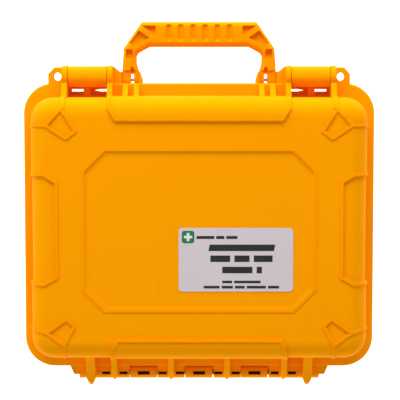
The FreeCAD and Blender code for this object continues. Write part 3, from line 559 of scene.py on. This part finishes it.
def wound_roll(node, material, slot, turns, inner, sheet_t, wobble, seed):
    """A strip wound up from the middle, with daylight between its turns, cut square at the ends."""
    low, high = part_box(node)
    middle = (low + high) / 2
    outer = (high.x - low.x) / 2 - 0.15 * MM
    pitch = (outer - inner - sheet_t) / turns
    steps = WOUND_STEPS
    noise = random.Random(SEED + seed)
    waves = [(noise.uniform(0, math.tau), noise.choice((2, 3, 5))) for _ in range(3)]
    shape = bmesh.new()
    rings = []
    total = turns * steps
    for n in range(total + 1):
        angle = math.tau * n / steps
        radius = inner + pitch * n / steps
        ease = min(1.0, (total - n) / steps, n / steps)
        for phase, rate in waves:
            radius += wobble * pitch * math.sin(rate * angle + phase) * ease / 3
        top = high.z + min(0.0, noise.uniform(-0.12, 0.12) * MM)
        section = ((radius, low.z), (radius + sheet_t, low.z), (radius + sheet_t, top), (radius, top))
        rings.append(hoop_corners(shape, middle, angle, section))
    for first, second in zip(rings, rings[1:]):
        bridge(shape, first, second)
    shape.faces.new(list(reversed(rings[0])))
    shape.faces.new(rings[-1])
    bmesh.ops.recalc_face_normals(shape, faces=shape.faces)
    piece = from_bmesh(f"{node}_wound", shape, [material], smooth=False)
    return stand_for(piece, "base", slot, node)


def roll_core(node, material, inner, outer):
    """The stiff tube that a tape roll is wound on."""
    low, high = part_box(node)
    middle = (low + high) / 2
    shape = bmesh.new()
    section = ((inner, low.z), (outer, low.z), (outer, high.z), (inner, high.z))
    rings = []
    for n in range(CORE_STEPS):
        rings.append(hoop_corners(shape, middle, math.tau * n / CORE_STEPS, section))
    for first, second in zip(rings, rings[1:] + rings[:1]):
        bridge(shape, first, second)
    bmesh.ops.recalc_face_normals(shape, faces=shape.faces)
    piece = from_bmesh(f"{node}_core", shape, [material], smooth=False)
    return stand_for(piece, "base", "carton")


def bandage_clips(node, material):
    """Two small bent clips that hold the elastic bandage's loose end."""
    low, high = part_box(node)
    middle = (low + high) / 2
    radius = (high.x - low.x) / 2 - 0.5 * MM
    shape = bmesh.new()
    for z in (low.z + CLIP_LEVELS[0], low.z + CLIP_LEVELS[1]):
        for turn, half, tall in ((0, 9.0, 2.4), (-24, 2.4, 4.2), (24, 2.4, 4.2)):
            centre_angle = math.radians(90 + turn)
            strip = []
            for n in range(CLIP_STEPS + 1):
                angle = centre_angle + (2 * n / CLIP_STEPS - 1) * half * MM / radius
                corners = []
                for reach in (radius, radius + 0.35 * MM):
                    corners += [(reach, z - tall * MM / 2), (reach, z + tall * MM / 2)]
                strip += hoop_corners(shape, middle, angle, corners)
            for n in range(CLIP_STEPS):
                a, b, c, d = (4 * n + k for k in (0, 1, 3, 2))
                for p, q in ((a, b), (b, c), (c, d), (d, a)):
                    shape.faces.new((strip[p], strip[q], strip[q + 4], strip[p + 4]))
            for start in (0, 4 * CLIP_STEPS):
                shape.faces.new([strip[start + k] for k in (0, 1, 3, 2)])
    bmesh.ops.recalc_face_normals(shape, faces=shape.faces)
    piece = from_bmesh("elastic_bandage_clips", shape, [material], smooth=False)
    return stand_for(piece, "base", "instrument_steel")


# Booklet

def booklet(paper, cover, inks, steel):
    """A stapled booklet: a folded cover round a stack of leaves that fan a little at the open edge."""
    low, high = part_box("guide_booklet")
    low = low + Vector((0.2, 0.2, 0.05)) * MM
    high = high - Vector((0.2, 0.2, 0.25)) * MM
    thick = 0.35 * MM
    bend = (high.z - low.z) / 2
    shape = bmesh.new()
    profile = [(high.x, high.z)]
    for n in range(FOLD_STEPS + 1):
        angle = math.pi / 2 + math.pi * n / FOLD_STEPS
        profile.append((low.x + bend + bend * math.cos(angle), low.z + bend + bend * math.sin(angle)))
    profile.append((high.x, low.z))
    profile.append((high.x, low.z + thick))
    inside = bend - thick
    for n in range(FOLD_STEPS + 1):
        angle = 3 * math.pi / 2 - math.pi * n / FOLD_STEPS
        profile.append((low.x + bend + inside * math.cos(angle), low.z + bend + inside * math.sin(angle)))
    profile.append((high.x, high.z - thick))
    ends = [[shape.verts.new((x, y, z)) for x, z in profile] for y in (low.y, high.y)]
    count = len(profile)
    half = count // 2
    for n in range(count):
        m = (n + 1) % count
        shape.faces.new((ends[0][n], ends[0][m], ends[1][m], ends[1][n]))
    for rim in ends:
        for n in range(half - 1):
            shape.faces.new((rim[n], rim[n + 1], rim[count - 2 - n], rim[count - 1 - n]))
    bmesh.ops.recalc_face_normals(shape, faces=shape.faces)
    wide = high.x - low.x
    tall = high.y - low.y
    top = high.z + 0.1 * MM
    under = high.z - 0.05 * MM
    centre = (low.x + high.x) / 2 + 2 * MM
    cy = low.y + tall * 0.3
    half_mark = 9 * MM
    badge = rounded_outline(centre - half_mark, centre + half_mark, cy - half_mark, cy + half_mark, 3.5 * MM)
    add_plate(shape, badge, under, top, 1)
    add_cross(shape, centre, cy, 12 * MM, under, top + 0.05 * MM, 2)
    for n, share in enumerate((0.62, 0.5, 0.34)):
        y = low.y + tall * (0.56 + 0.1 * n)
        reach = wide * share / 2
        depth = (3.4, 2.0, 2.0)[n] * MM
        add_plate(shape, oblong(centre - reach, centre + reach, y, y + depth), under, top, 3)
    piece = from_bmesh("booklet_cover", shape, [cover] + inks, smooth=False)
    stand_for(piece, "base", "booklet_paper", "guide_booklet")

    noise = random.Random(SEED + 40)
    leaves = bmesh.new()
    room = high.z - low.z - 2 * thick - 0.1 * MM
    for n in range(LEAF_COUNT):
        z0 = low.z + thick + 0.05 * MM + room * n / LEAF_COUNT
        inset = noise.uniform(0.5, 1.6) * MM
        side = noise.uniform(0.3, 0.7) * MM
        leaf_end = Vector((high.x - inset, high.y - side, z0 + room / LEAF_COUNT * 0.72))
        add_block(leaves, Vector((low.x + bend, low.y + side, z0)), leaf_end, 0.0)
    pages = from_bmesh("booklet_pages", leaves, [paper], smooth=False)
    stand_for(pages, "base", "booklet_paper")

    wires = bmesh.new()
    for y in (low.y + tall * 0.25, low.y + tall * 0.75):
        wire_start = Vector((low.x - 0.12 * MM, y - 6 * MM, low.z + bend - 0.25 * MM))
        wire_end = Vector((low.x + 0.3 * MM, y + 6 * MM, low.z + bend + 0.25 * MM))
        add_block(wires, wire_start, wire_end, 0.12 * MM)
    staples = from_bmesh("booklet_staples", wires, [steel], smooth=False)
    stand_for(staples, "base", "instrument_steel")


# Studio

def studio():
    bpy.ops.mesh.primitive_plane_add(size=8.0, location=(0, 0, 0))
    floor = bpy.context.object
    floor.name = "studio_floor"
    floor.data.materials.append(floor_material())
    world = bpy.data.worlds.new("studio_world")
    world.use_nodes = True
    background = world.node_tree.nodes["Background"]
    background.inputs["Color"].default_value = (1.0, 1.0, 1.0, 1.0)
    background.inputs["Strength"].default_value = WORLD_GLOW
    bpy.context.scene.world = world
    for name, place, size, power in LAMPS:
        data = bpy.data.lights.new(name, "AREA")
        data.shape = "RECTANGLE"
        data.size, data.size_y = size
        data.energy = power
        lamp = bpy.data.objects.new(name, data)
        bpy.context.collection.objects.link(lamp)
        lamp.location = place
        lamp.rotation_euler = (VIEW_TARGET - Vector(place)).to_track_quat("-Z", "Y").to_euler()
    scene = bpy.context.scene
    scene.view_settings.view_transform = "Standard"
    scene.view_settings.look = "None"


def camera():
    data = bpy.data.cameras.new("view_camera")
    data.sensor_width = SENSOR
    data.lens = LENS
    eye = bpy.data.objects.new("view_camera", data)
    bpy.context.collection.objects.link(eye)
    forward = Vector((0.0, math.sin(VIEW_TILT), -math.cos(VIEW_TILT)))
    up = Vector((0.0, -math.cos(VIEW_TILT), -math.sin(VIEW_TILT)))
    right = forward.cross(up)
    turn = Matrix((right, up, -forward)).transposed()
    eye.matrix_world = Matrix.Translation(VIEW_TARGET - forward * VIEW_DISTANCE) @ turn.to_4x4()
    bpy.context.scene.camera = eye


studio()
camera()

case_plastic = case_material()
# Painted shade: the hinge and latch pins get a near-black steel, because they sit deep in the knuckle
# windows where shade falls on them.
shaded_pin_steel = steel_material("painted_shade_pin_steel", (0.055, 0.042, 0.038), 0.45)
bright_steel = steel_material("instrument_steel", (0.62, 0.62, 0.63), 0.24)
seal_rubber = rubber_material()
black_plastic = moulded_plastic("vent_plastic", (0.028, 0.028, 0.030), (0.018, 0.018, 0.020)).data
loop_plastic = moulded_plastic("loop_plastic", (0.56, 0.020, 0.014), (0.46, 0.014, 0.010), (0.2, 0.32)).data
cap_plastic = moulded_plastic("cap_plastic", (0.030, 0.110, 0.420), (0.024, 0.090, 0.360)).data
bottle_plastic = film_material("bottle_plastic", (0.66, 0.78, 0.86), (0.58, 0.72, 0.82), clear=0.35)
label_film = printed_paper("label_film", (0.70, 0.63, 0.67), (0.66, 0.59, 0.63), (0.32, 0.42))
print_ink = printed_paper("print_ink", (0.022, 0.022, 0.026), (0.016, 0.016, 0.020))
green_ink = printed_paper("green_ink", (0.012, 0.200, 0.065), (0.010, 0.170, 0.055))
white_ink = printed_paper("white_ink", (0.80, 0.80, 0.80), (0.75, 0.75, 0.75))
card_board = printed_paper("card_board", (0.76, 0.75, 0.71), (0.70, 0.69, 0.65), (0.5, 0.7))
leaf_paper = printed_paper("leaf_paper", (0.72, 0.71, 0.67), (0.66, 0.65, 0.60), (0.7, 0.85))
cover_paper = printed_paper("cover_paper", (0.76, 0.77, 0.76), (0.72, 0.73, 0.72), (0.3, 0.42))
tube_board = printed_paper("tube_board", (0.46, 0.34, 0.22), (0.38, 0.28, 0.17), (0.75, 0.9), 900.0)

dress(("base_shell", "lid_shell", "handle", "latch_left_lever", "latch_right_lever"), case_plastic)
dress(("hinge_pin", "latch_left_pin", "latch_right_pin"), shaded_pin_steel)
dress(("handle_left_pin", "handle_right_pin"), bright_steel)
dress(("lid_gasket", "vent_seal"), seal_rubber)
dress(("vent_body", "vent_cap", "vent_nut"), black_plastic)
dress(("scissors_lower_loop", "scissors_upper_loop"), loop_plastic)
dress(("scissors_lower_blade", "scissors_upper_blade", "scissors_rivet", "tweezers"), bright_steel)
dress(("eyewash_bottle",), bottle_plastic)
dress(("eyewash_cap",), cap_plastic)
dress(("lid_label",), label_film)
label_art([print_ink, green_ink, white_ink])

for box_node, box_tint in CARTON_TINTS.items():
    tint_ink = printed_paper(f"{box_node}_ink", box_tint, tuple(0.85 * c for c in box_tint))
    carton(box_node, [card_board, tint_ink, white_ink, print_ink])

cold_film = film_material("cold_pack_film", (0.52, 0.70, 0.86), (0.40, 0.60, 0.80))
glove_film = film_material("glove_film", (0.16, 0.34, 0.66), (0.12, 0.27, 0.58))
foil_film = film_material("foil_film", (0.70, 0.71, 0.74), (0.60, 0.61, 0.66), metallic=0.9)
sterile_film = film_material("sterile_film", (0.74, 0.77, 0.80), (0.66, 0.71, 0.76))
cloth_film = film_material("cloth_packet_film", (0.76, 0.74, 0.66), (0.68, 0.66, 0.58))
pouches = (
    ("cold_pack_lower", cold_film, "pack_film", 0.8),
    ("cold_pack_upper", cold_film, "pack_film", 0.8),
    ("glove_bag", glove_film, "glove_film", 0.6),
    ("rescue_blanket_packet", foil_film, "foil_film", 0.7),
    ("triangular_bandage_packet", cloth_film, "sterile_paper", 0.6),
    ("trauma_pad_lower", sterile_film, "sterile_paper", 0.5),
    ("trauma_pad_upper", sterile_film, "sterile_paper", 0.5),
)
for number, (packet, film, film_slot, fullness) in enumerate(pouches):
    pouch(packet, film, film_slot, number + 1)

gauze_cloth = woven_material("gauze_cloth", (0.78, 0.77, 0.73), (0.62, 0.61, 0.57), 1.6 * MM)
elastic_cloth = woven_material("elastic_cloth", (0.66, 0.50, 0.36), (0.50, 0.36, 0.25), 1.2 * MM)
tape_cloth = woven_material("tape_cloth", (0.76, 0.75, 0.71), (0.66, 0.65, 0.61), 0.8 * MM)
wound_roll("gauze_roll", gauze_cloth, "gauze", 12, 2.4 * MM, 1.05 * MM, 0.5, 11)
wound_roll("elastic_bandage_roll", elastic_cloth, "gauze", 9, 2.6 * MM, 1.5 * MM, 0.3, 12)
bandage_clips("elastic_bandage_roll", bright_steel)
for tape_node in ("tape_roll_lower", "tape_roll_upper"):
    wound_roll(tape_node, tape_cloth, "tape", 14, TAPE_INNER, 0.42 * MM, 0.05, 13)
    roll_core(tape_node, tube_board, *CORE_RADII)
booklet(leaf_paper, cover_paper, [green_ink, white_ink, print_ink], bright_steel)
